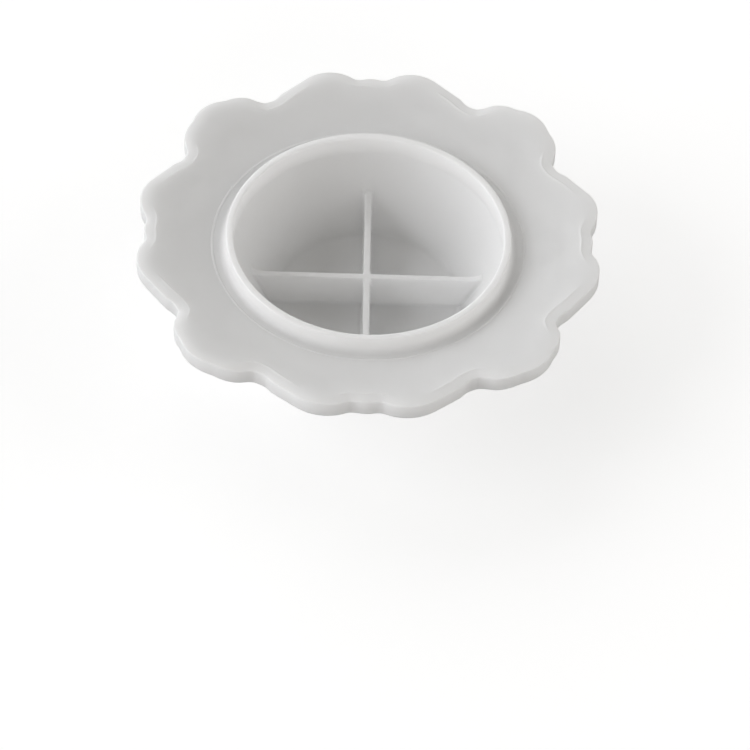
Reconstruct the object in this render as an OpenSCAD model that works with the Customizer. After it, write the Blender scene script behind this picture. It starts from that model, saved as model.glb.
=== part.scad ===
// Two-part silicone mould for a bowl with a dished, scalloped flange.
// It stands with its open core upwards. The ornament half (plate, rim, collar, core and ribs)
// lifts off the shell half (flange skin, bowl shell and pour lip) along +Z.
// The origin is on the axis, in the plane of the pour lip's lower face.

/* [Outline] */
// Distance from the axis to the flat of each side
side_half = 97.6; // [97.2:0.1:98]
// Distance from the axis to each straight flank
flank_half = 92.9; // [92.6:0.1:93.2]
// Turn of each straight flank away from its side
flank_turn = 40; // [39.5:0.25:40.5]
// Radius of the small bump in the middle of each side
bump_r = 12.2; // [11:0.1:13]
// Radius of the two lobes beside each bump
lobe_r = 18.1; // [17.8:0.1:18.4]
// Radius of the two shoulders beside each corner
shoulder_r = 17.1; // [16.8:0.1:17.4]
// Radius of the crest on each corner
crest_r = 18.6; // [18:0.1:19]
// Radius of the eight notches between sides and corners
notch_r = 9; // [8.5:0.1:9.5]

/* [Flange] */
// Rise of the dished flange for each millimetre of radius
dish = 0.2436; // [0.22:0.002:0.26]
// Height of the plate's top face above the collar, at a radius of 100
plate_rise = 1.4; // [0.6:0.1:2]
// Thickness of the ornament plate
plate_t = 2.8; // [2.4:0.1:3.2]
// Thickness of the casting's flange, which is the gap between the two halves
flange_gap = 4.6; // [4:0.1:5]
// Thickness of the shell half's flange
skin_t = 2.2; // [2:0.1:2.6]
// Width of the rim wall beside the casting
rim_w = 5; // [4.5:0.1:5.5]
// Width of the rim skirt beside the shell half's flange
skirt_w = 2.4; // [2.2:0.1:2.6]

/* [Collar] */
// Height of the collar's top face above the pour lip
collar_top = 55; // [54:0.5:56]
// Inner radius of the collar
collar_r = 59.3; // [59:0.1:59.6]
// Thickness of the collar
collar_w = 3.3; // [3.1:0.1:3.5]
// Radius of the cove between the collar and the plate
cove_r = 1.8; // [1.4:0.1:2.4]
// Radius of the fine half-round line on the plate, round the collar
line_r = 0.45; // [0.3:0.05:0.5]

/* [Core] */
// Depth of the collar's upright inner wall
throat_depth = 10.7; // [10:0.1:11.2]
// Width of the ledge at the foot of the upright wall
ledge_w = 0.8; // [0.5:0.1:1.2]
// Depth of the core's floor below the collar's top face
core_depth = 43.2; // [42:0.1:44]
// Radius of the core's floor
core_floor_r = 42; // [41.5:0.1:42.5]
// Thickness of the core and of the bowl shell
wall_t = 3; // [2.6:0.1:3.2]
// Thickness of the cross ribs
rib_t = 2.9; // [2.6:0.1:3.4]
// Height of the cross ribs
rib_h = 16.4; // [15.5:0.1:17.5]

/* [Shell] */
// Thickness of the casting's bowl wall, which is the gap round the core
bowl_gap = 5; // [4.6:0.1:5.4]
// Radius of the casting's foot, which is the pour opening
foot_r = 44; // [43.5:0.1:44.5]
// Height of the casting's foot
foot_h = 4; // [3.6:0.1:4.4]
// Clearance between the two halves where they nest
nest_gap = 0.3; // [0.2:0.05:0.4]

/* [Hidden] */
$fn = 180;

// Centres of the outline's round stretches, for the side at +X and the corner at 45 degrees
bump_at = [86.2, 0];
lobe_at = [82.8, 17.6];
shoulder_at = [66, 56];
crest_at = [61.8, 61.8];
notch_at = [90.6, 49.2];

// Reach of the prisms and sections beyond the flange
far_r = 112;

// Radius where the collar's foot ends, just outside the fine line
cove_end_r = collar_r + collar_w + 6.4;
line_at_r = cove_end_r - 0.5;
collar_edge = 0.7;
throat_z = collar_top - throat_depth;
core_floor_z = collar_top - core_depth;

// The core is a cone, and each wall along it is wider when it is measured flat
core_top_r = collar_r - ledge_w;
core_slope = (core_top_r - core_floor_r) / (core_depth - throat_depth);
flat_factor = sqrt(1 + core_slope * core_slope);
core_flat_t = wall_t * flat_factor;
shell_inset = core_flat_t + bowl_gap * flat_factor;

// Centre of the cove, which touches the collar and reaches 0.01 into the plate's slope
cove_at_r = collar_r + collar_w + cove_r;
collar_foot_z = plate_z(cove_at_r) + cove_r * sqrt(1 + dish * dish) - 0.01;

// Depths below the plate's top face of each level in the flange
gap_bottom = plate_t + flange_gap;
skin_bottom = gap_bottom + skin_t;

function plate_z(r) = collar_top + plate_rise + dish * (r - 100);
function core_r(z) = core_floor_r + core_slope * (z - core_floor_z);
function shell_r(z) = core_r(z) + shell_inset;

// Radius where the cone of the bowl shell meets the flange skin, at a depth below the plate's top
function shell_meets(depth, flat_t) =
    (core_floor_r + shell_inset + flat_t
     + core_slope * (collar_top + plate_rise - dish * 100 - depth - core_floor_z))
    / (1 - core_slope * dish);

// Scalloped outline with four equal sides and corners, drawn in by inset
module outline(inset = 0) {
    difference() {
        union() {
            intersection() {
                square(2 * (side_half - inset), center = true);
                rotate(flank_turn) square(2 * (flank_half - inset), center = true);
                rotate(-flank_turn) square(2 * (flank_half - inset), center = true);
            }
            for (turn = [0 : 90 : 270]) rotate(turn) {
                translate(bump_at) circle(r = bump_r - inset);
                translate(crest_at) circle(r = crest_r - inset);
                for (side = [0, 1]) mirror([0, side]) {
                    translate(lobe_at) circle(r = lobe_r - inset);
                    translate(shoulder_at) circle(r = shoulder_r - inset);
                }
            }
        }
        for (turn = [0 : 90 : 270], side = [0, 1])
            rotate(turn) mirror([0, side]) translate(notch_at) circle(r = notch_r + inset);
    }
}

// Upright prism of the outline, as tall as the whole mould
module outline_prism(inset) {
    linear_extrude(height = 2 * collar_top) outline(inset);
}

// Dished layer between two depths below the plate's top face
module dished_layer(inner_r, top, bottom) {
    rotate_extrude() polygon([
        [inner_r, plate_z(inner_r) - bottom],
        [far_r, plate_z(far_r) - bottom],
        [far_r, plate_z(far_r) - top],
        [inner_r, plate_z(inner_r) - top],
    ]);
}

// Edge band of the flange between two insets of the outline and two depths
module edge_band(inset, top, bottom) {
    difference() {
        intersection() {
            outline_prism(0);
            dished_layer(side_half - 20, top, bottom);
        }
        outline_prism(inset);
    }
}

// Open hollow of the core, between its floor and the top of the ribs
module rib_space() {
    translate([0, 0, core_floor_z])
        cylinder(h = rib_h, r1 = core_floor_r, r2 = core_r(core_floor_z + rib_h));
}

// Half of the rib that runs from side to side
module side_rib() {
    intersection() {
        rib_space();
        translate([rib_t / 2, -rib_t / 2, core_floor_z]) cube([core_top_r, rib_t, rib_h]);
    }
}

module ornament_plate() {
    color("whitesmoke") intersection() {
        outline_prism(rim_w);
        dished_layer(cove_end_r, 0, plate_t);
    }
}

module rim_wall() {
    color("gainsboro") edge_band(rim_w, 0, gap_bottom - nest_gap);
}

module rim_skirt() {
    color("lightgray") edge_band(skirt_w, gap_bottom - nest_gap, skin_bottom);
}

module collar_ring() {
    outer_r = collar_r + collar_w;
    color("white") rotate_extrude() union() {
        translate([collar_r, collar_foot_z])
            square([collar_w, collar_top - collar_edge - collar_foot_z]);
        translate([collar_r + collar_edge, collar_foot_z])
            square([collar_w - 2 * collar_edge, collar_top - collar_foot_z]);
        for (r = [collar_r + collar_edge, outer_r - collar_edge])
            translate([r, collar_top - collar_edge]) circle(r = collar_edge);
    }
}

// Foot of the collar, which carries the plate's inner edge, the top of the core and the fine line
module collar_cove() {
    touch_r = cove_at_r + cove_r * sin(atan(dish));
    color("snow") rotate_extrude() union() {
        difference() {
            polygon([
                [collar_r, throat_z],
                [core_top_r + core_flat_t, throat_z],
                [cove_end_r, plate_z(cove_end_r) - plate_t],
                [cove_end_r, plate_z(cove_end_r)],
                [touch_r, plate_z(touch_r)],
                [cove_at_r, collar_foot_z],
                [collar_r, collar_foot_z],
            ]);
            translate([cove_at_r, collar_foot_z]) circle(r = cove_r);
        }
        translate([line_at_r, plate_z(line_at_r)]) circle(r = line_r);
    }
}

module core_wall() {
    color("ghostwhite") rotate_extrude() polygon([
        [core_floor_r, core_floor_z],
        [core_floor_r + core_flat_t, core_floor_z],
        [core_top_r + core_flat_t, throat_z],
        [core_top_r, throat_z],
    ]);
}

module core_floor() {
    outer_r = core_floor_r + core_flat_t;
    color("whitesmoke") translate([0, 0, core_floor_z - wall_t])
        cylinder(h = wall_t, r1 = outer_r - core_slope * wall_t, r2 = outer_r);
}

module rib_front_rear() {
    color("gainsboro") intersection() {
        rib_space();
        translate([-rib_t / 2, -core_top_r, core_floor_z]) cube([rib_t, 2 * core_top_r, rib_h]);
    }
}

module rib_left() {
    color("gainsboro") mirror([1, 0, 0]) side_rib();
}

module rib_right() {
    color("gainsboro") side_rib();
}

module shell_flange() {
    inner_r = shell_meets(gap_bottom, 0) + core_flat_t;
    color("lavender") intersection() {
        outline_prism(skirt_w + nest_gap);
        dished_layer(inner_r, gap_bottom, skin_bottom);
    }
}

module shell_wall() {
    top_r = shell_meets(gap_bottom, 0);
    flange_r = top_r + core_flat_t;
    under_r = shell_meets(skin_bottom, core_flat_t);
    color("aliceblue") rotate_extrude() polygon([
        [shell_r(foot_h), foot_h],
        [shell_r(foot_h) + core_flat_t, foot_h],
        [under_r, plate_z(under_r) - skin_bottom],
        [flange_r, plate_z(flange_r) - skin_bottom],
        [flange_r, plate_z(flange_r) - gap_bottom],
        [top_r, plate_z(top_r) - gap_bottom],
    ]);
}

module pour_lip() {
    outer_r = shell_r(foot_h) + core_flat_t;
    color("azure") rotate_extrude() polygon([
        [foot_r, 0],
        [outer_r - foot_h * core_slope, 0],
        [outer_r, foot_h],
        [foot_r, foot_h],
    ]);
}

ornament_plate();
rim_wall();
rim_skirt();
collar_ring();
collar_cove();
core_wall();
core_floor();
rib_front_rear();
rib_left();
rib_right();
shell_flange();
shell_wall();
pour_lip();
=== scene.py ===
import math

import bmesh
import bpy
import numpy as np
from mathutils import Matrix, Vector


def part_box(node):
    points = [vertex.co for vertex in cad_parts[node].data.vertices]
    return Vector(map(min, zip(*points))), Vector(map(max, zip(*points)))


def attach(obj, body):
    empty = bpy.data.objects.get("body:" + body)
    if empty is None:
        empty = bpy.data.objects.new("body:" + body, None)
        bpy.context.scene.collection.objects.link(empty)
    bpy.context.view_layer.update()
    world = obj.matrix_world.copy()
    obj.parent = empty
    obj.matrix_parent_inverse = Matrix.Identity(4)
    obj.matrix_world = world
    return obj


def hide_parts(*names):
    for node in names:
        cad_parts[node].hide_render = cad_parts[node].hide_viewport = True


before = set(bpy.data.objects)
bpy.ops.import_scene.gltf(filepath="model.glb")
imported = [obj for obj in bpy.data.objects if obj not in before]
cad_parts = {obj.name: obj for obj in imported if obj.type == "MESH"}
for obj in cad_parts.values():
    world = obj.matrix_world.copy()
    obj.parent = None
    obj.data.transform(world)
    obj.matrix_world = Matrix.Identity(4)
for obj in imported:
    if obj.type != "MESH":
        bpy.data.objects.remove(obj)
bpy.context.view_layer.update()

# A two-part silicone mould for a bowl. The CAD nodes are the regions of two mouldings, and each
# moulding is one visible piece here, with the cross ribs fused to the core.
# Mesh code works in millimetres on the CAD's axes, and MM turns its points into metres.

MM = 0.001


def box_mm(node):
    """Lowest and highest corner of a CAD node, in millimetres."""
    low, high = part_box(node)
    return low / MM, high / MM


# ---------------------------------------------------------------- dimensions

# Round parts, read from the frame
COLLAR_TOP = box_mm("collar_ring")[1].z
COLLAR_OUT_R = box_mm("collar_ring")[1].x
COVE_END_R = box_mm("collar_cove")[1].x
THROAT_Z = box_mm("collar_cove")[0].z
CORE_OUT_R = box_mm("core_wall")[1].x
FLOOR_Z = box_mm("core_wall")[0].z
FLOOR_OUT_R = box_mm("core_floor")[1].x
UNDER_Z = box_mm("core_floor")[0].z
RIB_T = box_mm("rib_front_rear")[1].x * 2
RIB_TOP = box_mm("rib_front_rear")[1].z
LIP_OUT_R = box_mm("pour_lip")[1].x
LIP_TOP = box_mm("pour_lip")[1].z
RIM_TOP = box_mm("rim_wall")[1].z

# Fine raised line on the plate, round the collar
FINE_LINE_R = COVE_END_R - 0.5
FINE_LINE_H = 0.22
FINE_LINE_TOP_W = 0.6
FINE_LINE_SLOPE_W = 0.3

# The core's cone, and its wall's thickness square to it and along the horizontal
CORE_SLOPE = (CORE_OUT_R - FLOOR_OUT_R) / (THROAT_Z - FLOOR_Z)
WALL_T = FLOOR_Z - UNDER_Z
FLAT_T = WALL_T * math.hypot(1, CORE_SLOPE)
CORE_FLOOR_R = FLOOR_OUT_R - FLAT_T
CORE_TOP_R = CORE_OUT_R - FLAT_T
COLLAR_T = 3.3
COLLAR_IN_R = COLLAR_OUT_R - COLLAR_T

# Flange: its rise with the radius, and the depth of each level below the plate's top face
DISH = 0.2436
PLATE_T = 2.8
LAND_DEPTH = 7.1
GAP_DEPTH = 7.4
SKIN_DEPTH = 9.6

# Inset of each upright face from the scalloped outline
CAVITY_INSET = 5.0
SKIRT_INSET = 2.4
SHELL_INSET = 2.7

# Roll-off of the plate's top at the lobes, which fades out with the depth below it
ROLL_START_R = 92.0
ROLL_END_R = 102.0
ROLL_DEPTH = 0.3
ROLL_FADE = 6.0

# Plate's edge: a bevel with a fine crease in the notches, and a wide bend at the lobes
PLATE_EDGE_W = 12.0
BEVEL_W = 4.8
BEVEL_DEPTH = 1.3
BEVEL_SOFT = 0.12
CREASE_H = 0.2
CREASE_W = 0.45
BEND_W = 9.0

# Outline radius up to which the edge is all bevel, and from which it is all bend
BEVEL_END_R = 98.5
BEND_START_R = 102.0

# Foot of the casting
FOOT_R = 44.0

# Scalloped outline: round stretches as (x, y, radius), folded between a side and its corner
BUMP = (86.2, 0.0, 12.2)
LOBE = (82.8, 17.6, 18.1)
SHOULDER = (66.0, 56.0, 17.1)
CREST = (61.8, 61.8, 18.6)
NOTCH = (90.6, 49.2, 9.0)
SIDE_HALF = 97.6
FLANK_HALF = 92.9
FLANK_TURN = math.radians(40)
CREST_REACH = math.hypot(CREST[0], CREST[1]) + CREST[2]

# Softening of the outline's corners, in degrees, at the edge and for each millimetre further in
SOFTEN_AT_EDGE = 0.45
SOFTEN_PER_MM = 0.22

# Ornament on the casting's flange, from a ring of beads outwards. RELIEF_SCALE turns the heights in
# relief_height into millimetres.
RELIEF_SCALE = 0.75
RELIEF_IN_R = 64.6
BEAD_RING_R = 66.8
BEADS = 120
BEAD_R = 1.35
LINE_R = 70.2

COLUMNS = 960
ANGLES = np.arange(COLUMNS) * (2 * math.pi / COLUMNS)
QUARTER = math.pi / 2


def plate_z(r):
    """Height of the plate's top face at a radius."""
    return RIM_TOP + DISH * (r - CREST_REACH)


def core_r(z):
    """Inner radius of the core's cone at a height."""
    return CORE_FLOOR_R + CORE_SLOPE * (z - FLOOR_Z)


# ---------------------------------------------------------------- outline

def fold(angle):
    """Angle from the nearest side's middle, from 0 to an eighth of a turn."""
    return np.abs((angle + QUARTER / 2) % QUARTER - QUARTER / 2)


def disc_reach(disc, angle, grow, far):
    """Far or near crossing of a ray from the axis with a disc, or 0 or infinity where it misses."""
    x, y, radius = disc
    along = x * np.cos(angle) + y * np.sin(angle)
    across = x * np.sin(angle) - y * np.cos(angle)
    square = (radius + grow) ** 2 - across ** 2
    half = np.sqrt(np.maximum(square, 0))
    if far:
        return np.where(square > 0, along + half, 0)
    return np.where(square > 0, along - half, np.inf)


def outline_radius(inset):
    """Radius of the scalloped outline at every column, drawn in by inset and softer further in."""
    soften = math.radians(SOFTEN_AT_EDGE + SOFTEN_PER_MM * min(inset, CAVITY_INSET))
    angle = fold(ANGLES)
    flats = np.minimum.reduce([
        (SIDE_HALF - inset) / np.cos(angle),
        (FLANK_HALF - inset) / np.cos(angle - FLANK_TURN),
        (FLANK_HALF - inset) / np.cos(angle - (QUARTER - FLANK_TURN)),
    ])
    discs = [disc_reach(d, angle, -inset, True) for d in (BUMP, LOBE, SHOULDER, CREST)]
    radius = np.maximum.reduce([flats, *discs])
    radius = np.minimum(radius, disc_reach(NOTCH, angle, inset, False))
    waves = np.fft.rfftfreq(COLUMNS, 1 / COLUMNS)
    return np.fft.irfft(np.fft.rfft(radius) * np.exp(-(waves * soften) ** 2 / 2), COLUMNS)


# ---------------------------------------------------------------- profiles

def rounded(corners, step=2.0, arc_steps=6):
    """A line through corners (x, y, radius), with an arc at each radius and points every step."""
    points = [np.array(c[:2], float) for c in corners]
    line = [points[0]]

    def go_to(target):
        start = line[-1]
        count = max(1, math.ceil(np.linalg.norm(target - start) / step))
        line.extend(start + (target - start) * k / count for k in range(1, count + 1))

    for before, corner, after, (_, _, radius) in zip(points, points[1:], points[2:], corners[1:]):
        if radius == 0:
            go_to(corner)
            continue
        back = (before - corner) / np.linalg.norm(before - corner)
        on = (after - corner) / np.linalg.norm(after - corner)
        half = math.acos(np.clip(back @ on, -1, 1)) / 2
        middle = (back + on) / np.linalg.norm(back + on)
        centre = corner + middle * radius / math.sin(half)
        go_to(corner + back * radius / math.tan(half))
        first = line[-1] - centre
        last = corner + on * radius / math.tan(half) - centre
        turn = math.pi - 2 * half
        for k in range(1, arc_steps + 1):
            share = k / arc_steps
            line.append(centre + (math.sin(turn * (1 - share)) * first
                                  + math.sin(turn * share) * last) / math.sin(turn))
    go_to(points[-1])
    return line


def round_loops(line):
    """Circular loops of (radius, height) at every column, from points of (radius, height)."""
    return [(np.full(COLUMNS, r), np.full(COLUMNS, z)) for r, z in line]


def flange_z(radius, depth):
    """Height at a depth below the plate's top, which rolls off towards the lobes' tips."""
    share = np.clip((radius - ROLL_START_R) / (ROLL_END_R - ROLL_START_R), 0, 1)
    roll = ROLL_DEPTH * share ** 2 * (3 - 2 * share)
    return plate_z(radius) - depth - roll * np.maximum(0, 1 - depth / ROLL_FADE)


def scallop_loops(line):
    """Scalloped loops at every column, from points of (inset, depth below the plate's top)."""
    loops = []
    for inset, depth in line:
        radius = outline_radius(inset)
        loops.append((radius, flange_z(radius, depth)))
    return loops


def plate_edge():
    """Loops of the plate's top by its edge: bevelled in the notches, softly bent at the lobes."""
    share = np.clip((outline_radius(0) - BEVEL_END_R) / (BEND_START_R - BEVEL_END_R), 0, 1)
    lobe = share ** 2 * (3 - 2 * share)
    reach = BEND_W - BEVEL_W / 2
    power = 2 * reach / BEVEL_W
    loops = []
    coarse = np.linspace(PLATE_EDGE_W, PLATE_EDGE_W - 4.8, 7)
    fine = np.linspace(PLATE_EDGE_W - 5.8, BEVEL_W / 2, 20)
    for inset in [*coarse, *fine]:
        on = BEVEL_W - inset
        bevel = BEVEL_DEPTH / BEVEL_W * (on + math.hypot(on, BEVEL_SOFT)) / 2
        bevel -= CREASE_H * math.exp(-(on / CREASE_W) ** 2)
        bend = BEVEL_DEPTH / 2 * max(0, (BEND_W - inset) / reach) ** power
        radius = outline_radius(inset)
        loops.append((radius, flange_z(radius, bevel + (bend - bevel) * lobe)))
    return loops


def blend_loops(first, last, depth, count):
    """Loops between two others along the dished plate, at a depth below its top."""
    loops = []
    for k in range(1, count):
        radius = first[0] + (last[0] - first[0]) * k / count
        loops.append((radius, flange_z(radius, depth)))
    return loops


# ---------------------------------------------------------------- meshes

def new_object(name, vertices, faces):
    """A smooth mesh object from points in millimetres."""
    mesh = bpy.data.meshes.new(name)
    mesh.from_pydata((np.asarray(vertices) * MM).tolist(), [], faces)
    mesh.validate()
    mesh.polygons.foreach_set("use_smooth", [True] * len(mesh.polygons))
    mesh.update()
    piece = bpy.data.objects.new(name, mesh)
    bpy.context.scene.collection.objects.link(piece)
    return piece


def grid_faces(rows, columns, close_rows=False, first=0):
    """Quads of a grid that is closed round its columns."""
    quads = []
    here = np.arange(columns)
    beside = (here + 1) % columns
    for row in range(rows if close_rows else rows - 1):
        a = first + row * columns
        b = first + ((row + 1) % rows) * columns
        quads.append(np.stack([a + here, b + here, b + beside, a + beside], axis=1))
    return np.concatenate(quads).tolist()


def revolved(name, loops, poles=None):
    """A closed mesh through loops round the axis, which ends in two poles or closes on itself."""
    radius = np.array([loop[0] for loop in loops])
    height = np.array([loop[1] for loop in loops])
    points = np.stack([radius * np.cos(ANGLES), radius * np.sin(ANGLES), height], axis=-1)
    vertices = points.reshape(-1, 3)
    faces = grid_faces(len(loops), COLUMNS, close_rows=poles is None)
    if poles:
        base = len(vertices)
        last = base - COLUMNS
        vertices = np.vstack([vertices, [[0, 0, poles[0]], [0, 0, poles[1]]]])
        for j in range(COLUMNS):
            k = (j + 1) % COLUMNS
            faces.append([base, j, k])
            faces.append([base + 1, last + k, last + j])
    return new_object(name, vertices, faces)


# ---------------------------------------------------------------- relief

def spiral(centre, radius, start, turns, shrink=0.25, count=40):
    """Points of a scroll that winds inwards from its radius, clockwise where turns is negative."""
    share = np.linspace(0, 1, count)
    angle = start + 2 * math.pi * turns * share
    reach = radius * (1 - (1 - shrink) * share)
    return np.stack([centre[0] + reach * np.cos(angle), centre[1] + reach * np.sin(angle)], axis=1)


def arc_between(first, last, bulge, count=24):
    """Points of a shallow arc between two points, which bulges to its left."""
    first, last = np.array(first, float), np.array(last, float)
    share = np.linspace(0, 1, count)[:, None]
    across = np.array([-(last - first)[1], (last - first)[0]])
    return first + (last - first) * share + across * bulge * 4 * share * (1 - share)


def strand(x, y, line, width, height):
    """Half-round strand along a line, whose width tapers from one end to the other."""
    best = np.zeros_like(x)
    widths = np.linspace(width[0], width[1], len(line))
    for point, after, half in zip(line, line[1:], widths):
        run = after - point
        share = ((x - point[0]) * run[0] + (y - point[1]) * run[1]) / (run @ run)
        share = np.clip(share, 0, 1)
        away = np.hypot(x - point[0] - share * run[0], y - point[1] - share * run[1])
        best = np.maximum(best, np.sqrt(np.clip(1 - (away / half) ** 2, 0, 1)))
    return best * height


def leaf(x, y, root, turn, length, width, height):
    """Pointed leaf from its root, with a crease down its middle."""
    along = (x - root[0]) * math.cos(turn) + (y - root[1]) * math.sin(turn)
    across = -(x - root[0]) * math.sin(turn) + (y - root[1]) * math.cos(turn)
    share = np.clip(along / length, 0, 1)
    half = width * np.sin(math.pi * share ** 0.7) + 1e-6
    body = np.sqrt(np.clip(1 - (across / half) ** 2, 0, 1)) * (np.abs(share - 0.5) < 0.5)
    return height * body * (0.72 + 0.28 * np.clip(np.abs(across) / half, 0, 1))


def fan(x, y, root, turn, radius, lobes, height):
    """Shell-shaped fan of fluted lobes round its root."""
    dx, dy = x - root[0], y - root[1]
    reach = np.hypot(dx, dy)
    swing = (np.arctan2(dy, dx) - turn + math.pi) % (2 * math.pi) - math.pi
    lobe = np.abs(np.cos(swing * lobes / 2))
    edge = radius * (0.86 + 0.14 * np.sqrt(lobe))
    inside = (reach < edge) & (np.abs(swing) < math.radians(100)) & (reach > 0.2 * radius)
    rise = np.clip((edge - reach) / 1.2, 0, 1) ** 0.5
    flutes = 0.45 + 0.55 * np.sqrt(lobe)
    return height * inside * rise * flutes * np.clip(reach / radius * 1.6, 0, 1)


def relief_height(r, folded):
    """Depth of the ornament pressed into the plate's underside, from radius and folded angle."""
    x, y = r * np.cos(folded), r * np.sin(folded)
    pitch = 2 * math.pi / BEADS
    off = (folded + pitch / 2) % pitch - pitch / 2
    bead = np.hypot(r - BEAD_RING_R, off * BEAD_RING_R) / BEAD_R
    height = 1.1 * np.sqrt(np.clip(1 - bead ** 2, 0, 1))
    height = np.maximum(height, 0.6 * np.sqrt(np.clip(1 - ((r - LINE_R) / 0.6) ** 2, 0, 1)))
    corner = QUARTER / 2
    toward = (math.cos(corner), math.sin(corner))

    side_fan = fan(x, y, (76.0, 0), 0, 12.5, 9, 1.2)
    corner_fan = fan(x, y, (79 * toward[0], 79 * toward[1]), corner, 14.0, 9, 1.2)
    height = np.maximum.reduce([height, side_fan, corner_fan])
    for radius, centre in ((1.5, (91.2, 0)), (1.4, (96.6 * toward[0], 96.6 * toward[1]))):
        ring = np.abs(np.hypot(x - centre[0], y - centre[1]) - radius) / 0.6
        height = np.maximum(height, 0.9 * np.sqrt(np.clip(1 - ring ** 2, 0, 1)))

    strands = [
        (arc_between((75.2, 2.6), (84.6, 13.6), -0.12), (0.7, 1.2)),
        (spiral((88.3, 17.4), 5.3, math.radians(222), -1.35), (1.2, 0.6)),
        (arc_between((84.6, 13.6), (77.0, 32.5), -0.10), (1.2, 1.2)),
        (spiral((72.9, 35.6), 5.1, math.radians(-38), 1.3), (1.2, 0.6)),
        (arc_between((77.0, 32.5), (72.6, 45.6), -0.14), (1.2, 0.9)),
        (spiral((70.4, 49.2), 4.2, math.radians(-58), 1.2), (0.9, 0.5)),
        (arc_between((72.9, 45.8), (58.0, 53.6), 0.16), (0.9, 0.6)),
        (spiral((74.0, 15.8), 3.7, math.radians(20), 1.2), (0.9, 0.5)),
        (arc_between((77.4, 17.0), (80.6, 25.0), -0.12), (0.9, 0.7)),
        (spiral((62.6, 41.4), 3.9, math.radians(60), 1.2), (0.9, 0.5)),
        (arc_between((64.6, 44.8), (71.6, 41.4), 0.12), (0.9, 0.7)),
    ]
    for line, width in strands:
        height = np.maximum(height, strand(x, y, line, width, 1.1))
    leaves = [
        ((83.2, 20.0), math.radians(62), 8.5, 1.9),
        ((81.4, 25.0), math.radians(42), 8.0, 1.8),
        ((79.2, 29.0), math.radians(58), 7.5, 1.6),
        ((77.6, 6.4), math.radians(84), 6.5, 1.6),
        ((70.0, 22.6), math.radians(80), 7.0, 1.6),
        ((68.6, 25.4), math.radians(128), 6.0, 1.4),
        ((66.6, 38.4), math.radians(-70), 6.5, 1.5),
    ]
    for root, turn, length, width in leaves:
        height = np.maximum(height, leaf(x, y, root, turn, length, width, 1.1))
    return height


def pressed(loops):
    """Loops of the plate's underside with the ornament pressed up into them."""
    shaped = []
    for radius, height in loops:
        shaped.append((radius, height + RELIEF_SCALE * relief_height(radius, fold(ANGLES))))
    return shaped


# ---------------------------------------------------------------- ornament half

def ornament_half():
    """Plate, rim, collar, core wall and floor of the ornament half, as one moulding."""
    line_in_r = FINE_LINE_R - FINE_LINE_TOP_W / 2
    line_out_r = FINE_LINE_R + FINE_LINE_TOP_W / 2
    line_start_r = line_in_r - 1.5
    foot_in_r = line_in_r - FINE_LINE_SLOPE_W
    foot_out_r = line_out_r + FINE_LINE_SLOPE_W
    hollow = rounded([
        (3, FLOOR_Z, 0),
        (CORE_FLOOR_R, FLOOR_Z, 4.0),
        (CORE_TOP_R - 0.3, THROAT_Z - 0.6, 2.0),
        (COLLAR_IN_R, THROAT_Z + 1.6, 3.0),
        (COLLAR_IN_R, COLLAR_TOP, 0.9),
        (COLLAR_OUT_R, COLLAR_TOP, 0.6),
        (COLLAR_OUT_R, plate_z(COLLAR_OUT_R), 2.4),
        (line_start_r, plate_z(line_start_r), 0),
    ], step=2.5)
    fine_line = rounded([
        (line_start_r, plate_z(line_start_r), 0),
        (foot_in_r, plate_z(foot_in_r), 0.2),
        (line_in_r, plate_z(line_in_r) + FINE_LINE_H, 0.25),
        (line_out_r, plate_z(line_out_r) + FINE_LINE_H, 0.25),
        (foot_out_r, plate_z(foot_out_r), 0.2),
        (line_out_r + 2, plate_z(line_out_r + 2), 0),
    ], step=1.0, arc_steps=3)[1:]
    inner = round_loops(hollow + fine_line)

    rim = plate_edge() + scallop_loops(rounded([
        (BEVEL_W / 2, BEVEL_DEPTH / 2, 0),
        (0, BEVEL_DEPTH, 0.6),
        (0, SKIN_DEPTH, 1.6),
        (SKIRT_INSET, SKIN_DEPTH, 0.4),
        (SKIRT_INSET, LAND_DEPTH, 0.3),
        (CAVITY_INSET, LAND_DEPTH, 0.3),
        (CAVITY_INSET, PLATE_T, 0.8),
        (8, PLATE_T, 0),
    ], step=1.6, arc_steps=8))[1:]
    top = blend_loops(inner[-1], rim[0], 0, 10)

    mouth_r = CORE_OUT_R + 0.3
    core_end_r = FLOOR_OUT_R - CORE_SLOPE * WALL_T
    core = round_loops(rounded([
        (RELIEF_IN_R, plate_z(RELIEF_IN_R) - PLATE_T, 0),
        (mouth_r, plate_z(mouth_r) - PLATE_T, 1.6),
        (core_end_r, UNDER_Z, 2.5),
        (3, UNDER_Z, 0),
    ], step=0.6))
    under = pressed(blend_loops(rim[-1], core[0], PLATE_T, 64))
    return revolved("ornament_half", inner + top + rim + under + core, (FLOOR_Z, UNDER_Z))


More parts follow.
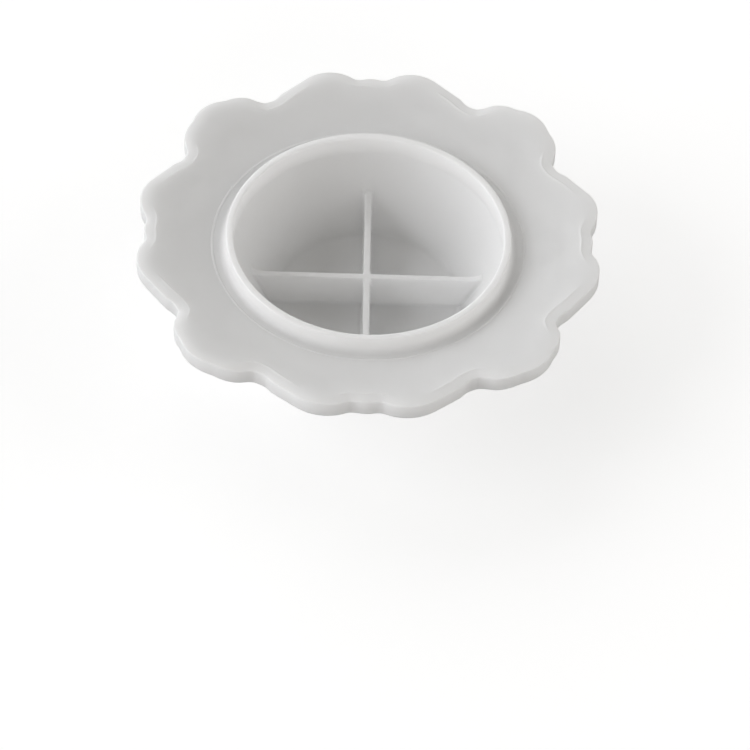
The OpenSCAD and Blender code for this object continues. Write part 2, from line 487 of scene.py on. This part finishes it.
def rib(name, near, far_sign, along_y):
    """One rib of the cross, filleted to the floor and the wall, with a top that climbs the wall."""
    foot = 1.2
    wall_fillet = 1.6
    corner = 0.5
    buried = 1.0
    crossing_soft = 0.2
    climb = 1.9
    climb_reach = 6.0
    half = RIB_T / 2

    def flare(distance, radius):
        d = min(max(radius - distance, 0), radius)
        return radius - math.sqrt(radius ** 2 - d ** 2)

    heights = [FLOOR_Z - buried, FLOOR_Z]
    heights += [FLOOR_Z + foot * k / 6 for k in range(1, 7)]
    heights += list(np.linspace(FLOOR_Z + foot, RIB_TOP - corner, 8)[1:])
    side = [(half + flare(max(z - FLOOR_Z, 0), foot), z) for z in heights]
    side += [(half - corner * (1 - math.cos(t)), RIB_TOP - corner * (1 - math.sin(t)))
             for t in np.linspace(0, QUARTER, 6)[1:]]
    outline = [(-w, z) for w, z in side] + [(w, z) for w, z in reversed(side)]

    shares = np.concatenate([np.linspace(0, 0.12, 15), np.linspace(0.12, 0.88, 36)[1:],
                             np.linspace(0.88, 1, 15)[1:]])
    rows = []
    for share in shares:
        row = []
        for w, z in outline:
            wall_r = core_r(max(z, FLOOR_Z))
            start = -wall_r - buried if near is None else near
            along = start + (wall_r + buried - start) * share
            extra = flare(max(wall_r - abs(along), 0), wall_fillet)
            extra += flare(max(abs(along) - half, 0) + crossing_soft, foot)
            across = w + math.copysign(extra, w)
            near_wall = max(0, 1 - max(wall_r - abs(along), 0) / climb_reach)
            lift = climb * near_wall ** 2 * max(0, z - FLOOR_Z) / (RIB_TOP - FLOOR_Z)
            along = far_sign * (along + math.copysign(CORE_SLOPE * lift, along))
            row.append((across, along, z + lift) if along_y else (along, across, z + lift))
        rows.append(row)
    count = len(outline)
    vertices = [p for row in rows for p in row]
    faces = []
    for i in range(len(rows) - 1):
        for j in range(count):
            k = (j + 1) % count
            a, b = i * count, (i + 1) * count
            faces.append([a + j, b + j, b + k, a + k])
    faces.append(list(range(count)))
    faces.append([(len(rows) - 1) * count + j for j in reversed(range(count))])
    return outward(new_object(name, vertices, faces))


def outward(piece):
    """Turns every face of a closed mesh outwards."""
    shape = bmesh.new()
    shape.from_mesh(piece.data)
    bmesh.ops.recalc_face_normals(shape, faces=shape.faces)
    shape.to_mesh(piece.data)
    shape.free()
    return piece


def fused(piece, parts):
    """Joins closed meshes into the first one, without the faces inside."""
    for part in parts:
        union = piece.modifiers.new(part.name, "BOOLEAN")
        union.operation = "UNION"
        union.solver = "MANIFOLD"
        union.object = part
    bpy.context.view_layer.update()
    seen = piece.evaluated_get(bpy.context.evaluated_depsgraph_get())
    joined = bpy.data.meshes.new_from_object(seen)
    piece.modifiers.clear()
    piece.data = joined
    joined.name = piece.name
    joined.materials.clear()
    for part in parts:
        bpy.data.objects.remove(part)
    return piece


# ---------------------------------------------------------------- shell half

def shell_half():
    """Flange skin, bowl shell and pour lip of the shell half, as one moulding."""
    low_r = LIP_OUT_R - FLAT_T
    bottom_r = LIP_OUT_R - CORE_SLOPE * LIP_TOP

    def meets(depth, start_r):
        """Where a cone from start_r at the lip's top meets a level of the flange."""
        level = RIM_TOP - DISH * CREST_REACH - depth
        radius = (start_r + CORE_SLOPE * (level - LIP_TOP)) / (1 - CORE_SLOPE * DISH)
        return radius, plate_z(radius) - depth

    mouth = meets(GAP_DEPTH, low_r)
    under = meets(SKIN_DEPTH, LIP_OUT_R)
    join_r = 72.0
    inner = round_loops(rounded([
        ((FOOT_R + bottom_r) / 2, 0, 0),
        (FOOT_R, 0, 0.6),
        (FOOT_R, LIP_TOP, 0.5),
        (low_r, LIP_TOP, 0.8),
        (*mouth, 2.0),
        (join_r, plate_z(join_r) - GAP_DEPTH, 0),
    ], step=1.5))
    edge = scallop_loops(rounded([
        (8, GAP_DEPTH, 0),
        (SHELL_INSET, GAP_DEPTH, 0.5),
        (SHELL_INSET, SKIN_DEPTH, 0.5),
        (8, SKIN_DEPTH, 0),
    ], step=1.5))
    outer = round_loops(rounded([
        (join_r, plate_z(join_r) - SKIN_DEPTH, 0),
        (*under, 3.0),
        (bottom_r, 0, 0.8),
        ((FOOT_R + bottom_r) / 2, 0, 0),
    ], step=1.5))[:-1]
    above = blend_loops(inner[-1], edge[0], GAP_DEPTH, 12)
    below = blend_loops(edge[-1], outer[0], SKIN_DEPTH, 12)
    return outward(revolved("shell_half", inner + above + edge + below + outer))


# ---------------------------------------------------------------- materials

def silicone(name, tone):
    """Satin white silicone, which lets light through and has a faint skin from its mould."""
    material = bpy.data.materials.new(name)
    material.use_nodes = True
    nodes, links = material.node_tree.nodes, material.node_tree.links
    shader = nodes["Principled BSDF"]
    place = nodes.new("ShaderNodeTexCoord")

    def noise(scale, detail):
        node = nodes.new("ShaderNodeTexNoise")
        node.inputs["Scale"].default_value = scale
        node.inputs["Detail"].default_value = detail
        links.new(place.outputs["Object"], node.inputs["Vector"])
        return node.outputs["Fac"]

    cloud = nodes.new("ShaderNodeValToRGB")
    cloud.color_ramp.elements[0].position = 0.3
    cloud.color_ramp.elements[0].color = (*[c * 0.985 for c in tone], 1)
    cloud.color_ramp.elements[1].position = 0.7
    cloud.color_ramp.elements[1].color = (*tone, 1)
    links.new(noise(22, 3), cloud.inputs["Fac"])
    links.new(cloud.outputs["Color"], shader.inputs["Base Color"])

    satin = nodes.new("ShaderNodeMapRange")
    satin.inputs["To Min"].default_value = 0.44
    satin.inputs["To Max"].default_value = 0.56
    links.new(noise(90, 4), satin.inputs["Value"])
    links.new(satin.outputs["Result"], shader.inputs["Roughness"])

    skin = nodes.new("ShaderNodeBump")
    skin.inputs["Strength"].default_value = 0.12
    skin.inputs["Distance"].default_value = 0.0002
    links.new(noise(900, 3), skin.inputs["Height"])
    links.new(skin.outputs["Normal"], shader.inputs["Normal"])

    shader.inputs["IOR"].default_value = 1.41
    shader.inputs["Subsurface Weight"].default_value = 0.75
    shader.inputs["Subsurface Radius"].default_value = (1.0, 1.0, 1.0)
    shader.inputs["Subsurface Scale"].default_value = 0.006
    return material


# ---------------------------------------------------------------- stage

def camera():
    """A long lens from 46 degrees above, aimed so that the mould stands high in the frame."""
    elevation = math.radians(46.11)
    spin = math.radians(1.20)
    roll = math.radians(-2.57)
    distance = 1.835
    focal_share = 5.581
    off_right, off_up = -0.00835, 0.18787
    target = Vector((0, 0, COLLAR_TOP * MM))
    forward = Vector((math.sin(spin) * math.cos(elevation), math.cos(spin) * math.cos(elevation),
                      -math.sin(elevation)))
    level = Vector((math.cos(spin), -math.sin(spin), 0))
    above = level.cross(forward)
    right = level * math.cos(roll) - above * math.sin(roll)
    up = level * math.sin(roll) + above * math.cos(roll)
    aim = (forward * focal_share - right * off_right - up * off_up).normalized()
    right = (right - aim * right.dot(aim)).normalized()
    up = right.cross(aim)
    data = bpy.data.cameras.new("camera")
    data.sensor_width = 36
    data.lens = 36 * focal_share
    data.clip_start = 0.05
    data.clip_end = 50
    lens = bpy.data.objects.new("camera", data)
    turn = Matrix((right, up, -aim)).transposed().to_4x4()
    lens.matrix_world = Matrix.Translation(target - forward * distance) @ turn
    bpy.context.scene.collection.objects.link(lens)
    bpy.context.scene.camera = lens


def soft_sun(name, azimuth, elevation, spread, strength, colour):
    """A wide soft light from far away, where azimuth 0 is in front and 90 at the right."""
    a, e = math.radians(azimuth), math.radians(elevation)
    away = Vector((math.sin(a) * math.cos(e), -math.cos(a) * math.cos(e), math.sin(e)))
    data = bpy.data.lights.new(name, "SUN")
    data.angle = math.radians(spread)
    data.energy = strength
    data.color = colour
    light = bpy.data.objects.new(name, data)
    light.location = away * 2
    light.rotation_mode = "QUATERNION"
    light.rotation_quaternion = away.to_track_quat("Z", "Y")
    bpy.context.scene.collection.objects.link(light)


def floor():
    """A plain pale sweep under the mould."""
    half = 6000
    corners = [(-half, -half), (half, -half), (half, half), (-half, half)]
    piece = new_object("floor", [(x, y, -0.1) for x, y in corners], [[0, 1, 2, 3]])
    material = bpy.data.materials.new("floor_paper")
    material.use_nodes = True
    nodes, links = material.node_tree.nodes, material.node_tree.links
    shader = nodes["Principled BSDF"]
    shader.inputs["Base Color"].default_value = (0.6, 0.6, 0.6, 1)
    shader.inputs["Roughness"].default_value = 0.9
    shader.inputs["Specular IOR Level"].default_value = 0.0
    shader.inputs["Emission Color"].default_value = (1, 1, 1, 1)
    rays = nodes.new("ShaderNodeLightPath")
    glow = nodes.new("ShaderNodeMath")
    glow.operation = "MULTIPLY"
    glow.inputs[1].default_value = 0.56
    links.new(rays.outputs["Is Camera Ray"], glow.inputs[0])
    links.new(glow.outputs["Value"], shader.inputs["Emission Strength"])
    piece.data.materials.append(material)


def studio():
    """Four wide soft lights, low round the mould: left, right, front and back."""
    world = bpy.data.worlds.new("studio")
    world.use_nodes = True
    sky = world.node_tree.nodes["Background"]
    sky.inputs["Color"].default_value = (1.03, 1.01, 0.96, 1)
    sky.inputs["Strength"].default_value = 0.26
    bpy.context.scene.world = world
    soft_sun("light_left", 280, 18.5, 57, 1.88, (0.985, 0.995, 1.02))
    soft_sun("light_right", 95, 16, 52, 0.98, (1.013, 1.0, 0.987))
    soft_sun("light_front", 8, 12.8, 46, 0.66, (1.026, 0.997, 0.977))
    soft_sun("light_back", 212, 22.3, 65, 1.3, (0.992, 0.998, 1.01))
    bpy.context.scene.view_settings.view_transform = "Standard"


# ---------------------------------------------------------------- assembly

camera()
studio()
floor()

WHITE = (0.86, 0.86, 0.86)
ornament_silicone = silicone("satin_silicone_ornament", WHITE)
shell_silicone = silicone("satin_silicone_shell", WHITE)

ribs = [rib("long_rib", None, 1, True), rib("left_rib", 0.3, -1, False),
        rib("right_rib", 0.3, 1, False)]
pieces = [
    (fused(ornament_half(), ribs), "ornament_half", ornament_silicone, "ornament_silicone",
     ["ornament_plate", "rim_wall", "rim_skirt", "collar_ring", "collar_cove", "core_wall",
      "core_floor", "rib_front_rear", "rib_left", "rib_right"]),
    (shell_half(), "shell_half", shell_silicone, "shell_silicone",
     ["shell_flange", "shell_wall", "pour_lip"]),
]
for piece, body, material, slot, nodes in pieces:
    piece.data.materials.append(material)
    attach(piece, body)
    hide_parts(*nodes)
